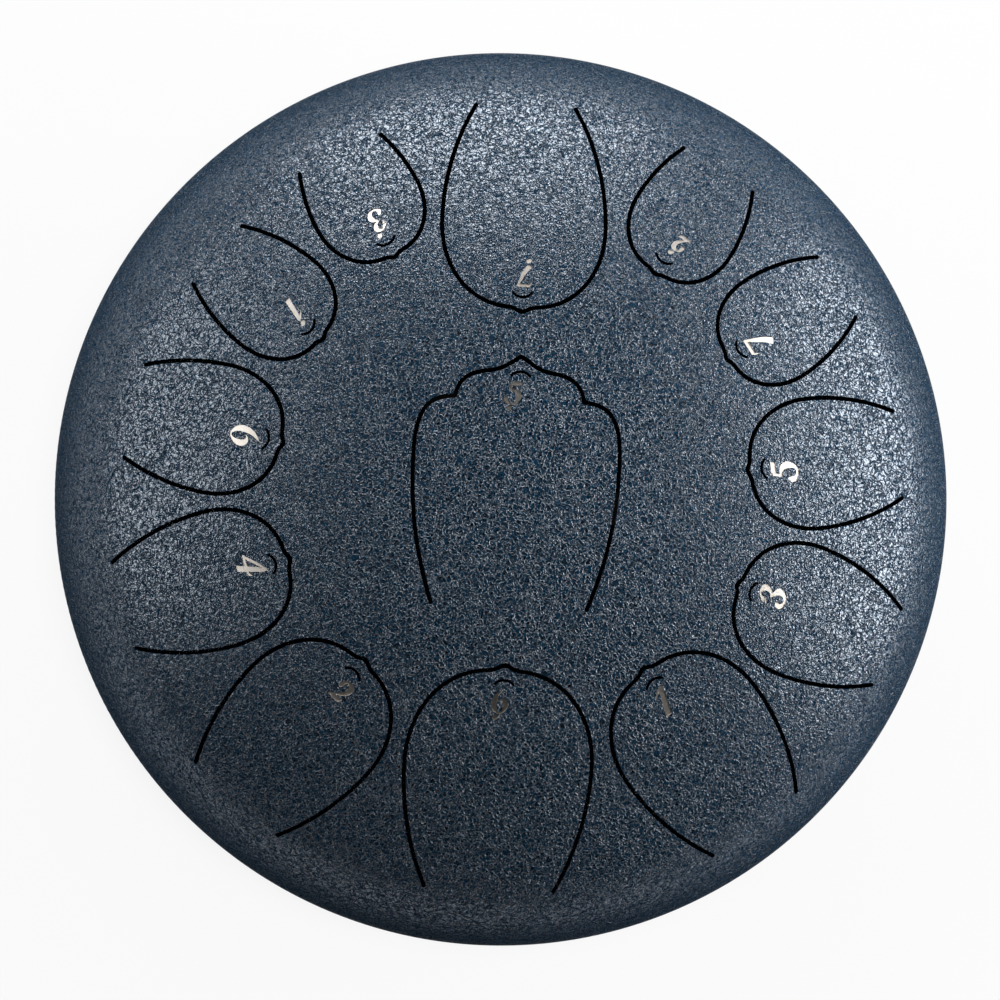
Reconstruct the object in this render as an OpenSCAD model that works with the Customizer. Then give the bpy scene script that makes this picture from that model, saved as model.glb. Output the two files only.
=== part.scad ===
// Steel tongue drum with thirteen notes.
// Two pressed steel shells are welded together at the waist. The upper one is a dome with
// thirteen tongues slotted out of it; the lower one is a bowl with a flat bottom, a sound
// hole and three screwed-on rubber feet.
// The drum stands on the plane z = 0 and turns about the Z axis. The player sits on the
// -Y side, so the tip of the middle tongue points along +Y.

/* [Shells] */
// Outside diameter at the waist
drum_d = 305; // [290:1:340]
// Thickness of the pressed sheet
wall = 2; // [1.5:0.1:2.4]
// Outside radius of the dome's round shoulder, above the waist
shoulder_r = 52; // [46:1:56]
// Straight skirt of each shell beside the waist weld
skirt_h = 2; // [1.6:0.1:5]
// Outside radius of the dome's crown
crown_r = 260; // [245:5:300]
// Outside radius of the bowl's round shoulder, below the waist
bowl_shoulder_r = 46; // [42:1:48]
// Width of the bowl's curved side seen from below, from the waist to the flat bottom
bowl_side_w = 71; // [66:1:78]
// How far the bowl's broad arc drops for each millimetre of width that it covers
bowl_drop_share = 0.8; // [0.7:0.01:0.9]

/* [Waist weld] */
// Leg of the welded V groove, on each shell
weld_leg = 1.2; // [0.8:0.1:1.4]
// How far the ground bead stands proud of the skirts
weld_crown = 0.3; // [0.1:0.1:0.5]

/* [Slots] */
// Width of the slot that frees each tongue
slot_w = 1.5; // [1:0.1:1.8]
// Gap at the root line, where the tongue bends
root_gap = 0.3; // [0.2:0.05:0.5]

/* [Tongue lengths, as shares of the drum's radius] */
// Low 5, the middle tongue
low_5_len_share = 0.5331; // [0.51:0.001:0.55]
// Low 6
low_6_len_share = 0.4957; // [0.48:0.001:0.51]
// Low 7
low_7_len_share = 0.4636; // [0.45:0.001:0.48]
// 1
note_1_len_share = 0.4393; // [0.42:0.001:0.45]
// 2
note_2_len_share = 0.4164; // [0.4:0.001:0.43]
// 3
note_3_len_share = 0.381; // [0.37:0.001:0.39]
// 4
note_4_len_share = 0.377; // [0.36:0.001:0.39]
// 5
note_5_len_share = 0.3548; // [0.34:0.001:0.37]
// 6
note_6_len_share = 0.3331; // [0.32:0.001:0.34]
// 7
note_7_len_share = 0.3102; // [0.3:0.001:0.32]
// High 1
high_1_len_share = 0.2997; // [0.29:0.001:0.31]
// High 2
high_2_len_share = 0.2859; // [0.27:0.001:0.29]
// High 3
high_3_len_share = 0.263; // [0.25:0.001:0.27]

/* [Tongue widths, as shares of the drum's radius] */
// Low 5, the middle tongue
low_5_w_share = 0.4367; // [0.41:0.001:0.45]
// Low 6
low_6_w_share = 0.4007; // [0.38:0.001:0.42]
// Low 7
low_7_w_share = 0.3508; // [0.33:0.001:0.36]
// 1
note_1_w_share = 0.3449; // [0.33:0.001:0.36]
// 2
note_2_w_share = 0.3377; // [0.32:0.001:0.35]
// 3
note_3_w_share = 0.2879; // [0.27:0.001:0.3]
// 4
note_4_w_share = 0.2931; // [0.28:0.001:0.3]
// 5
note_5_w_share = 0.2807; // [0.27:0.001:0.29]
// 6
note_6_w_share = 0.278; // [0.26:0.001:0.29]
// 7
note_7_w_share = 0.2393; // [0.23:0.001:0.25]
// High 1
high_1_w_share = 0.238; // [0.23:0.001:0.25]
// High 2
high_2_w_share = 0.2393; // [0.23:0.001:0.25]
// High 3
high_3_w_share = 0.2393; // [0.23:0.001:0.25]

/* [Arc slits] */
// Radius of the small arc slit in each tongue, along its middle
slit_r = 4.1; // [3:0.1:5]
// Width of the arc slit
slit_w = 0.9; // [0.7:0.1:1.4]
// Half of the angle that the arc slit spans
slit_half_angle = 48; // [35:1:60]
// Distance from a tongue's tip to its arc slit
slit_inset = 4.9; // [4:0.1:6]

/* [Sound hole] */
// Diameter of the round hole in the middle of the bottom
port_d = 40; // [34:1:44]
// Number of petal-shaped openings round it
petals = 6; // [4:1:8]
// Length of a petal
petal_len = 26; // [22:1:27]
// Widest part of a petal
petal_w = 14; // [10:1:16]
// Steel left between the round hole and the petals
petal_gap = 6; // [5:1:8]

/* [Feet] */
// Flat steel left between a foot and the bowl's curved side
foot_inset = 1.5; // [1:0.5:4]
// Diameter of a foot under the bowl
foot_top_d = 26; // [24:0.5:27]
// Diameter of a foot's sole
foot_sole_d = 23; // [20:0.5:24]
// Height of a foot, from its sole to the bowl
foot_h = 12; // [10:1:16]
// Rounding round the sole
foot_round = 2; // [1:0.5:2.5]
// Diameter of the recess for the screw's head
recess_d = 12; // [11:0.5:13]
// Depth of that recess
recess_h = 6; // [5:0.5:7]
// Free play of a screw in the holes that it passes through, on the diameter
screw_play = 0.4; // [0.3:0.1:0.8]

/* [Fasteners] */
// Diameter of the screw's shank
screw_d = 4.8; // [4:0.1:5]
// Diameter of the screw's pan head
head_d = 9.5; // [8:0.1:10]
// Height of the screw's pan head
head_h = 3.7; // [3:0.1:4]
// Length of thread left standing out of the nut
thread_end = 1.5; // [1:0.5:4]
// Outside diameter of a washer
washer_d = 10; // [9:0.5:12]
// Thickness of a washer
washer_h = 1; // [0.8:0.1:1.6]
// Width of a nut across its flats
nut_w = 8; // [7:0.1:9]
// Height of a nut
nut_h = 4; // [3:0.1:5]
// Diameter of a nut's bore
nut_bore_d = 5; // [5:0.1:5.4]

/* [Hidden] */
// How far a cutting body runs past what it cuts
cut_over = 1;
// How far the two arcs of a shell lap over each other where they meet
seam_lap = 0.002;
$fn = 96;

drum_r = drum_d / 2;
low_5_len = low_5_len_share * drum_r;
low_5_w = low_5_w_share * drum_r;
flat_r = drum_r - bowl_side_w;
// The bowl's broad arc leaves the flat level and meets the bowl's shoulder
bowl_reach = bowl_side_w - bowl_shoulder_r;
bowl_rise = bowl_shoulder_r + bowl_drop_share * bowl_reach;
bowl_r = (pow(bowl_reach, 2) + pow(bowl_rise, 2) - pow(bowl_shoulder_r, 2))
    / (2 * (bowl_rise - bowl_shoulder_r));
bowl_depth = skirt_h + bowl_rise;
waist_z = foot_h + bowl_depth;
crown_rise = skirt_h + crown_r - sqrt(pow(crown_r - shoulder_r, 2) - pow(drum_r - shoulder_r, 2));

// Where each tongue lies: the direction from its tip to its root, in degrees from +X, and
// how far along it the tip is from the drum's axis, as a share of the drum's radius. The
// middle tongue reaches across the axis, so its tip's share is negative.
low_5_turn = -90;
low_6_turn = -90;
low_7_turn = 90.5;
note_1_turn = -49.9;
note_2_turn = -129.1;
note_3_turn = -18.5;
note_4_turn = -161.3;
note_5_turn = 9.3;
note_6_turn = 170.1;
note_7_turn = 35.7;
high_1_turn = 143.4;
high_2_turn = 60.4;
high_3_turn = 119.3;
low_5_tip_share = -0.295;
low_6_tip_share = 0.359;
low_7_tip_share = 0.391;
note_1_tip_share = 0.459;
note_2_tip_share = 0.468;
note_3_tip_share = 0.515;
note_4_tip_share = 0.492;
note_5_tip_share = 0.504;
note_6_tip_share = 0.501;
note_7_tip_share = 0.544;
high_1_tip_share = 0.524;
high_2_tip_share = 0.565;
high_3_tip_share = 0.569;

// The petal outline of the twelve outer tongues, in shares of half the tongue's width.
// From the tip a small nib runs into a broad bowl, a superellipse, which reaches the
// tongue's full width at belly_share; from there an arc draws the flanks in to the root.
nib_h_share = 0.06;
nib_w_share = 0.085;
bowl_start_share = 0.12;
belly_share = 1.1;
flank_r_share = 3.2;
bowl_exponent = 2.1;
nib_count = 4;
bowl_count = 11;
flank_count = 5;

// The ogee outline of the middle tongue: four curves down one side, each as its end points
// and handles, across in shares of half the width and along in shares of the length
ogee_shares = [
    [[0, 0], [0.07, 0.012], [0.14, 0.05], [0.3, 0.06]],
    [[0.3, 0.06], [0.45, 0.068], [0.6, 0.085], [0.625, 0.17]],
    [[0.625, 0.17], [0.84, 0.172], [1, 0.205], [1, 0.4]],
    [[1, 0.4], [1, 0.6], [0.96, 0.76], [0.75, 1]]
];
ogee_count = 7;

foot_places = [for (turn = [-90, 30, 150]) [flat_r - foot_inset - foot_top_d / 2, turn]];
screw_hole_d = screw_d + screw_play;
screw_len = (foot_h - recess_h) + wall + washer_h + nut_h + thread_end;

function superellipse(angle) = [
    bowl_start_share + (1 - bowl_start_share) * pow(sin(angle), 2 / bowl_exponent),
    belly_share - (belly_share - nib_h_share) * pow(cos(angle), 2 / bowl_exponent)
];
function with_nib(p) = [p.x, p.y - nib_h_share * exp(-pow(p.x / nib_w_share, 2))];
function flank(reach) = [
    1 - flank_r_share + sqrt(pow(flank_r_share, 2) - pow(reach, 2)),
    belly_share + reach
];

// One side of a petal tongue from its tip to its root, as [along, across]
function petal_side(length, width) =
    let (half = width / 2, flank_reach = length / half - belly_share)
    [for (p = concat(
        [for (i = [0 : nib_count - 1]) with_nib([bowl_start_share * i / nib_count, nib_h_share])],
        [for (i = [0 : bowl_count]) with_nib(superellipse(90 * i / bowl_count))],
        [for (i = [1 : flank_count]) flank(flank_reach * i / flank_count)]
    )) [p.y * half, p.x * half]];

// One side of the middle tongue in the same form
function curve_point(c, t) =
    pow(1 - t, 3) * c[0] + 3 * pow(1 - t, 2) * t * c[1] + 3 * (1 - t) * pow(t, 2) * c[2] + pow(t, 3) * c[3];
function ogee_side(length, width) = concat(
    [[0, 0]],
    [for (c = ogee_shares) for (i = [1 : ogee_count])
        let (p = curve_point(c, i / ogee_count)) [p.y * length, p.x * width / 2]]
);

// A side moved outwards by a distance, with mitred corners. Its first point stays on the
// tongue's axis, and its last one goes to the root line.
function edge_normal(a, b) = let (d = b - a) [-d.y, d.x] / norm(d);
function mitre(n, m) = (n + m) / (1 + n * m);
function moved_side(side, out, root) =
    let (last = len(side) - 1, normals = [for (i = [1 : last]) edge_normal(side[i - 1], side[i])])
    concat(
        [[out / normals[0].x, 0]],
        [for (i = [1 : last - 1]) side[i] + out * mitre(normals[i - 1], normals[i])],
        [[root, side[last].y + out / normals[last - 1].y]]
    );

// The closed outline of a tongue: a side and its mirror image, set out from the drum's
// axis with the tip at tip_r
module both_sides(side, tip_r, turn) {
    last = len(side) - 1;
    rotate([0, 0, turn])
        translate([tip_r, 0])
            polygon(concat(side, [for (i = [last : -1 : 1]) [side[i].x, -side[i].y]]));
}

// A ring sector: the part of a flat ring that lies inside the given outline
module ring_part(outer_r, inner_r, at, outline) {
    intersection() {
        translate(at)
            difference() {
                circle(r = outer_r);
                circle(r = inner_r);
            }
        polygon(outline);
    }
}

// Half of a shell's section, with the waist on y = 0: a bevelled skirt, the round
// shoulder, a broad arc tangent to it, and a flat if there is one. The arcs meet on their
// common radius, and the broad one laps a hair over the shoulder, so that they fuse.
module shell_section(flat, broad_r, round_r, rise) {
    shoulder_at = [drum_r - round_r, skirt_h];
    broad_at = [flat, rise - broad_r];
    lean = (shoulder_at - broad_at) / norm(shoulder_at - broad_at);
    seam_in = shoulder_at + (round_r - 2 * wall) * lean;
    seam_out = shoulder_at + (round_r + wall) * lean;
    lap = seam_lap * [lean.y, -lean.x];
    polygon([
        [drum_r - wall, 0], [drum_r - weld_leg, 0], [drum_r, weld_leg],
        [drum_r, skirt_h], [drum_r - wall, skirt_h]
    ]);
    ring_part(round_r, round_r - wall, shoulder_at, [
        seam_in, seam_out, [drum_r + wall, seam_out.y], [drum_r + wall, skirt_h],
        [drum_r - 2 * wall, skirt_h]
    ]);
    ring_part(broad_r, broad_r - wall, broad_at, [
        seam_in + lap, seam_out + lap, [seam_out.x, rise + wall], [flat, rise + wall],
        [flat, rise - 2 * wall]
    ]);
    if (flat > 0)
        translate([0, rise - wall])
            square([flat, wall]);
}

module upper_wall() {
    translate([0, 0, waist_z])
        rotate_extrude()
            shell_section(0, crown_r, shoulder_r, crown_rise);
}

module through_dome() {
    translate([0, 0, waist_z])
        linear_extrude(height = crown_rise + cut_over)
            children();
}

module petal_window(len_share, w_share, tip_share, turn) {
    length = len_share * drum_r;
    side = moved_side(petal_side(length, w_share * drum_r), slot_w / 2, length);
    through_dome()
        both_sides(side, tip_share * drum_r, turn);
}

module ogee_window() {
    side = moved_side(ogee_side(low_5_len, low_5_w), slot_w / 2, low_5_len);
    through_dome()
        both_sides(side, low_5_tip_share * drum_r, low_5_turn);
}

// The small arc slit near a tongue's tip, bowed towards the tip
module arc_slit(tip_r, turn) {
    wedge_r = 3 * slit_r;
    through_dome()
        rotate([0, 0, turn])
            translate([tip_r + slit_inset + slit_r, 0])
                ring_part(slit_r + slit_w / 2, slit_r - slit_w / 2, [0, 0], [
                    [0, 0],
                    [-wedge_r * cos(slit_half_angle), wedge_r * sin(slit_half_angle)],
                    [-wedge_r * cos(slit_half_angle), -wedge_r * sin(slit_half_angle)]
                ]);
}

module tongue_plate(side, tip_r, turn) {
    color("#2b3242")
        difference() {
            intersection() {
                upper_wall();
                through_dome()
                    both_sides(side, tip_r, turn);
            }
            arc_slit(tip_r, turn);
        }
}

module petal_tongue(len_share, w_share, tip_share, turn) {
    length = len_share * drum_r;
    side = moved_side(petal_side(length, w_share * drum_r), -slot_w / 2, length - root_gap);
    tongue_plate(side, tip_share * drum_r, turn);
}

module upper_shell() {
    color("#262c3b")
        difference() {
            upper_wall();
            ogee_window();
            petal_window(low_6_len_share, low_6_w_share, low_6_tip_share, low_6_turn);
            petal_window(low_7_len_share, low_7_w_share, low_7_tip_share, low_7_turn);
            petal_window(note_1_len_share, note_1_w_share, note_1_tip_share, note_1_turn);
            petal_window(note_2_len_share, note_2_w_share, note_2_tip_share, note_2_turn);
            petal_window(note_3_len_share, note_3_w_share, note_3_tip_share, note_3_turn);
            petal_window(note_4_len_share, note_4_w_share, note_4_tip_share, note_4_turn);
            petal_window(note_5_len_share, note_5_w_share, note_5_tip_share, note_5_turn);
            petal_window(note_6_len_share, note_6_w_share, note_6_tip_share, note_6_turn);
            petal_window(note_7_len_share, note_7_w_share, note_7_tip_share, note_7_turn);
            petal_window(high_1_len_share, high_1_w_share, high_1_tip_share, high_1_turn);
            petal_window(high_2_len_share, high_2_w_share, high_2_tip_share, high_2_turn);
            petal_window(high_3_len_share, high_3_w_share, high_3_tip_share, high_3_turn);
        }
}

module tongue_low_5() {
    side = moved_side(ogee_side(low_5_len, low_5_w), -slot_w / 2, low_5_len - root_gap);
    tongue_plate(side, low_5_tip_share * drum_r, low_5_turn);
}
module tongue_low_6() petal_tongue(low_6_len_share, low_6_w_share, low_6_tip_share, low_6_turn);
module tongue_low_7() petal_tongue(low_7_len_share, low_7_w_share, low_7_tip_share, low_7_turn);
module tongue_1() petal_tongue(note_1_len_share, note_1_w_share, note_1_tip_share, note_1_turn);
module tongue_2() petal_tongue(note_2_len_share, note_2_w_share, note_2_tip_share, note_2_turn);
module tongue_3() petal_tongue(note_3_len_share, note_3_w_share, note_3_tip_share, note_3_turn);
module tongue_4() petal_tongue(note_4_len_share, note_4_w_share, note_4_tip_share, note_4_turn);
module tongue_5() petal_tongue(note_5_len_share, note_5_w_share, note_5_tip_share, note_5_turn);
module tongue_6() petal_tongue(note_6_len_share, note_6_w_share, note_6_tip_share, note_6_turn);
module tongue_7() petal_tongue(note_7_len_share, note_7_w_share, note_7_tip_share, note_7_turn);
module tongue_high_1() petal_tongue(high_1_len_share, high_1_w_share, high_1_tip_share, high_1_turn);
module tongue_high_2() petal_tongue(high_2_len_share, high_2_w_share, high_2_tip_share, high_2_turn);
module tongue_high_3() petal_tongue(high_3_len_share, high_3_w_share, high_3_tip_share, high_3_turn);

// A pointed petal: the shape that two equal circles share
module petal_hole() {
    side_r = (pow(petal_len, 2) + pow(petal_w, 2)) / (4 * petal_w);
    intersection() {
        translate([0, side_r - petal_w / 2])
            circle(r = side_r);
        translate([0, petal_w / 2 - side_r])
            circle(r = side_r);
    }
}

module at_feet() {
    for (place = foot_places)
        rotate([0, 0, place[1]])
            translate([place[0], 0, 0])
                children();
}

module lower_shell() {
    petal_at = port_d / 2 + petal_gap + petal_len / 2;
    color("#232937")
        difference() {
            translate([0, 0, waist_z])
                mirror([0, 0, 1])
                    rotate_extrude()
                        shell_section(flat_r, bowl_r, bowl_shoulder_r, bowl_depth);
            translate([0, 0, foot_h - cut_over])
                linear_extrude(height = wall + 2 * cut_over) {
                    circle(d = port_d);
                    for (i = [0 : petals - 1])
                        rotate([0, 0, 360 * i / petals])
                            translate([petal_at, 0])
                                petal_hole();
                }
            at_feet()
                translate([0, 0, foot_h - cut_over])
                    cylinder(d = screw_hole_d, h = wall + 2 * cut_over);
        }
}

// The bead fills the groove between the two bevelled skirts
module waist_weld() {
    color("#202532")
        translate([0, 0, waist_z])
            rotate_extrude()
                polygon([
                    [drum_r - weld_leg, 0], [drum_r, -weld_leg],
                    [drum_r + weld_crown, -weld_leg / 3], [drum_r + weld_crown, weld_leg / 3],
                    [drum_r, weld_leg]
                ]);
}

// A rubber foot: tapered, rounded round the sole, bored for the screw and recessed for its
// head
module rubber_foot(place) {
    color("#1b1b1d")
        rotate([0, 0, place[1]])
            translate([place[0], 0, 0])
                rotate_extrude()
                    foot_section();
}

module foot_section() {
    sole_r = foot_sole_d / 2;
    difference() {
        union() {
            square([sole_r - foot_round, foot_round]);
            polygon([
                [0, foot_round], [sole_r, foot_round], [foot_top_d / 2, foot_h], [0, foot_h]
            ]);
            intersection() {
                translate([sole_r - foot_round, foot_round])
                    circle(r = foot_round);
                translate([sole_r - foot_round, 0])
                    square(foot_round);
            }
        }
        translate([0, -cut_over])
            square([screw_hole_d / 2, foot_h + 2 * cut_over]);
        translate([0, -cut_over])
            square([recess_d / 2, recess_h + cut_over]);
    }
}

// A screw, head down in the foot's recess: the head is part of a ball
module foot_screws() {
    ball_r = (pow(head_d / 2, 2) + pow(head_h, 2)) / (2 * head_h);
    color("silver")
        at_feet() {
            translate([0, 0, recess_h])
                cylinder(d = screw_d, h = screw_len);
            rotate_extrude()
                intersection() {
                    translate([0, recess_h - head_h + ball_r])
                        circle(r = ball_r);
                    translate([0, recess_h - head_h])
                        square([head_d / 2, head_h]);
                }
        }
}

module foot_washers() {
    color("silver")
        at_feet()
            translate([0, 0, foot_h + wall])
                difference() {
                    cylinder(d = washer_d, h = washer_h);
                    translate([0, 0, -cut_over])
                        cylinder(d = screw_hole_d, h = washer_h + 2 * cut_over);
                }
}

module foot_nuts() {
    color("silver")
        at_feet()
            translate([0, 0, foot_h + wall + washer_h])
                difference() {
                    cylinder(d = nut_w / cos(30), h = nut_h, $fn = 6);
                    translate([0, 0, -cut_over])
                        cylinder(d = nut_bore_d, h = nut_h + 2 * cut_over);
                }
}

upper_shell();
lower_shell();
waist_weld();
tongue_low_5();
tongue_low_6();
tongue_low_7();
tongue_1();
tongue_2();
tongue_3();
tongue_4();
tongue_5();
tongue_6();
tongue_7();
tongue_high_1();
tongue_high_2();
tongue_high_3();
rubber_foot(foot_places[0]);  // rubber_foot_1
rubber_foot(foot_places[1]);  // rubber_foot_2
rubber_foot(foot_places[2]);  // rubber_foot_3
foot_screws();
foot_washers();
foot_nuts();
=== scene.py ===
import bpy
import numpy as np
from mathutils import Matrix, Vector
from mathutils.geometry import delaunay_2d_cdt


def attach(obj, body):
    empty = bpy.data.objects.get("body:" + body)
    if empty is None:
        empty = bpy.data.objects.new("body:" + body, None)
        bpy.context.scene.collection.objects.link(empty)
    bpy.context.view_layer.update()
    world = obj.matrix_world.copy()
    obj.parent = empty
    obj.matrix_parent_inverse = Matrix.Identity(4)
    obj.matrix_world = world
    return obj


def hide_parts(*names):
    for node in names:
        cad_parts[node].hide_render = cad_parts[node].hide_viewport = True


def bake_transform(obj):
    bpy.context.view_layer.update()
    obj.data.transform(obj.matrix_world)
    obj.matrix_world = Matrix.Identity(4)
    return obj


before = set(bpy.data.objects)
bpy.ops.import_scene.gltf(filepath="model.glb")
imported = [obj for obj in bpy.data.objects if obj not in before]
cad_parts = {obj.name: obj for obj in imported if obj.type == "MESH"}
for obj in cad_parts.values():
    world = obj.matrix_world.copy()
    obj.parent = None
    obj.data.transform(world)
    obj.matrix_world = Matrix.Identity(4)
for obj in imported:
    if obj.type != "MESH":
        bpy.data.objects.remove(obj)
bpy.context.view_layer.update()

# The camera stands over the drum, a little to the left of its axis and towards the
# player, and is turned by three degrees round the axis as the photographed drum is.
CAMERA_LEAN, CAMERA_TURN = (-0.052, -0.0131), np.radians(3)
CAMERA_AIM, CAMERA_REACH, FARTHEST = Vector((0, 0, 0.08)), 1.2708, 20
SENSOR_MM, LENS_MM, LENS_SHIFT = 36, 133.36, (-0.00216, -0.001)
scene = bpy.context.scene
lean = np.sin(CAMERA_LEAN)
turn = Matrix.Rotation(CAMERA_TURN, 3, "Z")
backwards = turn @ Vector((*lean, np.sqrt(1 - lean @ lean)))
rightwards = (turn @ Vector((0, 1, 0))).cross(backwards).normalized()
upwards = backwards.cross(rightwards)
camera = bpy.data.objects.new("camera", bpy.data.cameras.new("camera"))
camera.data.sensor_width, camera.data.lens = SENSOR_MM, LENS_MM
camera.data.shift_x, camera.data.shift_y = LENS_SHIFT
camera.data.clip_end = FARTHEST
facing = Matrix((rightwards, upwards, backwards)).transposed().to_4x4()
camera.matrix_world = Matrix.Translation(CAMERA_AIM + backwards * CAMERA_REACH) @ facing
scene.collection.objects.link(camera)
scene.camera = camera

# The dome: one disc of 2 mm sheet, pressed to a broad crown with a round shoulder and a
# short skirt, and cut through by laser along thirteen U-shaped slots. Its dark blue enamel
# rounds the slots' edges and has shrunk into cells of one or two millimetres.
MM = 0.001
DRUM_R, WALL, SKIRT = 152.5, 2.0, 2.0
WAIST_Z = 80.0
CROWN_R, SHOULDER_R = 260.0, 52.0
SHOULDER_MID = DRUM_R - SHOULDER_R
CROWN_TOP = WAIST_Z + SKIRT + CROWN_R - np.sqrt((CROWN_R - SHOULDER_R) ** 2 - SHOULDER_MID ** 2)
LEAN = SHOULDER_MID / (CROWN_R - SHOULDER_R)
WELD_LEG = 1.2
SLOT_W = 1.4
EDGE_ROUND, EDGE_ROWS = 0.05, 3
# name, direction from tip to root, tip and length and width in shares of the drum's radius
TONGUES = [
    ("low_5", -90, -0.295, 0.5331, 0.4367),
    ("low_6", -90, 0.359, 0.4957, 0.4007),
    ("low_7", 90.5, 0.391, 0.4636, 0.3508),
    ("1", -49.9, 0.459, 0.4393, 0.3449),
    ("2", -129.1, 0.468, 0.4164, 0.3377),
    ("3", -18.5, 0.515, 0.381, 0.2879),
    ("4", -161.3, 0.492, 0.377, 0.2931),
    ("5", 9.3, 0.504, 0.3548, 0.2807),
    ("6", 170.1, 0.501, 0.3331, 0.278),
    ("7", 35.7, 0.544, 0.3102, 0.2393),
    ("high_1", 143.4, 0.524, 0.2997, 0.238),
    ("high_2", 60.4, 0.565, 0.2859, 0.2393),
    ("high_3", 119.3, 0.569, 0.263, 0.2393),
]
# in shares of half the width: the nib at a petal's tip, where its bow starts and how square
# that is, where the belly lies and how round the flanks are
NIB_H, NIB_W, BOW_START, BOW_POWER, BELLY_AT, FLANK_R = 0.06, 0.085, 0.12, 2.1, 1.1, 3.2
# steps along slots and roots, between points of the faces, and from these to the slots
FINE_STEP, ROOT_STEP, COARSE_STEP, SLOT_CLEARANCE = 0.9, 2.0, 2.6, 1.3
# where the turned rim begins, and how far the faces' points stay from it
RIM_R, RIM_CLEARANCE = 142.0, 1.5


def node(tree, kind, links=None, **settings):
    """A shader node with its settings made and its inputs linked or given a value."""
    made = tree.nodes.new("ShaderNode" + kind)
    for title, value in settings.items():
        setattr(made, title, value)
    for title, value in (links or {}).items():
        socket = made.inputs[title]
        if isinstance(value, bpy.types.NodeSocket):
            tree.links.new(value, socket)
        else:
            socket.default_value = value
    return made


def maths(tree, sort, *values):
    """The result of one Math node."""
    return node(tree, "Math", dict(enumerate(values)), operation=sort).outputs[0]


def ramp(tree, value, low, high, to_low=0.0, to_high=1.0, smooth=True):
    """A value mapped from one range to another, clamped and, if smooth, eased."""
    made = node(tree, "MapRange", {"Value": value, "From Min": low, "From Max": high,
                                   "To Min": to_low, "To Max": to_high},
                interpolation_type="SMOOTHSTEP" if smooth else "LINEAR", clamp=True)
    return made.outputs["Result"]


def mixed(tree, share, first, second):
    """Two colours mixed by a share. Mix has one set of sockets per kind of data: those for
    colours are 6 and 7, and their result is 2."""
    return node(tree, "Mix", {0: share, 6: first, 7: second}, data_type="RGBA").outputs[2]


def wrinkled_enamel():
    """Enamel that shrank as it baked. Cells of one or two millimetres, like small pillows,
    meet in thin cracks, and thin bands of a broader noise give longer creases; the cracks and
    creases are coloured darker as painted shade. A finer noise roughens them. Pale reflecting
    flakes too small to tell apart lie in the dark ground of the cells, closer together in some
    blots and farther apart in others."""
    group = bpy.data.node_groups.new("wrinkled_enamel", "ShaderNodeTree")
    for way, kind, titles in (("INPUT", "Color", ("Crack Shade", "Ground", "Flakes")),
                              ("INPUT", "Float", ("Cell Size",)),
                              ("OUTPUT", "Color", ("Color",)),
                              ("OUTPUT", "Float", ("Flake Mask", "Roughness", "Height"))):
        for title in titles:
            group.interface.new_socket(title, in_out=way, socket_type="NodeSocket" + kind)
    into = group.nodes.new("NodeGroupInput").outputs
    out = group.nodes.new("NodeGroupOutput").inputs
    place = node(group, "TexCoord").outputs["Object"]
    per_metre = maths(group, "DIVIDE", 1 / MM, into["Cell Size"])
    stir_reach = 0.005
    # half widths of a crack, of the slope beside it and of a crease
    crack_half, slope_half, crease_half = 0.085, 0.16, 0.015
    pillow_height, speck_height, blot_strength = 0.35, 0.6, 0.5
    flakes_from, flakes_full = 0.45, 0.49
    crack_roughness, flake_roughness = 0.35, 0.2

    def noise(per_cell, **settings):
        settings = {title.capitalize(): value for title, value in settings.items()}
        scale = maths(group, "MULTIPLY", per_metre, per_cell)
        return node(group, "TexNoise", {"Vector": place, "Scale": scale, **settings}).outputs

    stir = noise(0.8, detail=2.0)["Color"]
    stirred = node(group, "VectorMath", {0: stir, 1: (stir_reach,) * 3, 2: place},
                   operation="MULTIPLY_ADD").outputs[0]
    edge = node(group, "TexVoronoi", {"Vector": stirred, "Scale": per_metre},
                feature="DISTANCE_TO_EDGE").outputs["Distance"]
    speck = noise(1.75, detail=2.0, roughness=0.65)["Fac"]
    broad = maths(group, "SUBTRACT", noise(0.48, detail=2.0, distortion=1.0)["Fac"], 0.5)
    crease = ramp(group, maths(group, "ABSOLUTE", broad), 0.0, crease_half)
    # top is 1 on the cells and falls to 0 in the cracks and creases: there it paints the darker
    # crack colour as painted shade, and it keeps the flakes off them
    top = maths(group, "MULTIPLY", ramp(group, edge, 0.0, crack_half), crease)
    pillow = maths(group, "MULTIPLY", ramp(group, edge, 0.0, slope_half), crease)
    blots = maths(group, "SUBTRACT", noise(1.27, detail=3.0)["Fac"], 0.5)
    grain = maths(group, "ADD", noise(7.9, detail=0.0)["Fac"],
                  maths(group, "MULTIPLY", blots, blot_strength))
    flakes = ramp(group, grain, flakes_from, flakes_full, 0.0, 1.0, False)
    paint = mixed(group, flakes, into["Ground"], into["Flakes"])
    mask = maths(group, "MULTIPLY", top, flakes)
    height = maths(group, "ADD", maths(group, "MULTIPLY", pillow, pillow_height),
                   maths(group, "MULTIPLY", speck, speck_height))
    rough = ramp(group, mask, 0, 1, crack_roughness, flake_roughness, False)
    # painted shade: the cracks and creases are coloured with the darker crack colour
    colour = mixed(group, top, into["Crack Shade"], paint)
    for title, source in (("Color", colour), ("Flake Mask", mask), ("Roughness", rough),
                          ("Height", height)):
        group.links.new(source, out[title])
    return group


def principled(name):
    """A material with nothing but a Principled BSDF wired to its output."""
    material = bpy.data.materials.new(name)
    material.use_nodes = True
    tree = material.node_tree
    tree.nodes.clear()
    shader = tree.nodes.new("ShaderNodeBsdfPrincipled")
    output = tree.nodes.new("ShaderNodeOutputMaterial")
    tree.links.new(shader.outputs[0], output.inputs[0])
    return material, tree, shader


enamel_group = wrinkled_enamel()


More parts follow.
